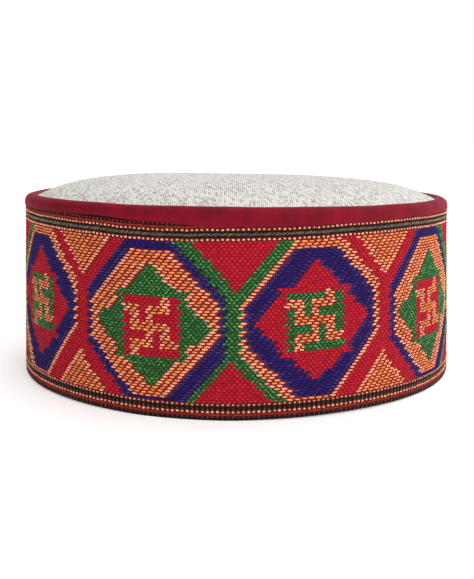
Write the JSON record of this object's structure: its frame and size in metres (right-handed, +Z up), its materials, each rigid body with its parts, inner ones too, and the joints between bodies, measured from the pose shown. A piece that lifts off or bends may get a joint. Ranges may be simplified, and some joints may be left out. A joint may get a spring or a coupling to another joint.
{
  "type": "kullu cap",
  "caption": "Round woollen cap with a low domed crown, an upright patterned woven band and a velvet edge, open below for the head.",
  "frame": {"origin": "centre of the bottom rim, on the plane that the cap rests on", "axes": "+Z up through the crown; -Y towards the front that the picture shows; +X to the right in the picture"},
  "size_m": [0.19, 0.19, 0.0839],
  "materials": {
    "grey_wool": "light grey heathered wool tweed, matt",
    "woven_wool": "figured wool weave in red, orange, navy and green, matt",
    "maroon_velvet": "maroon velvet with a soft sheen"
  },
  "bodies": {
    "root": {"wool_side_wall": "grey_wool", "wool_crown": "grey_wool", "woven_band": "woven_wool", "velvet_binding": "maroon_velvet"}
  },
  "joints": []
}
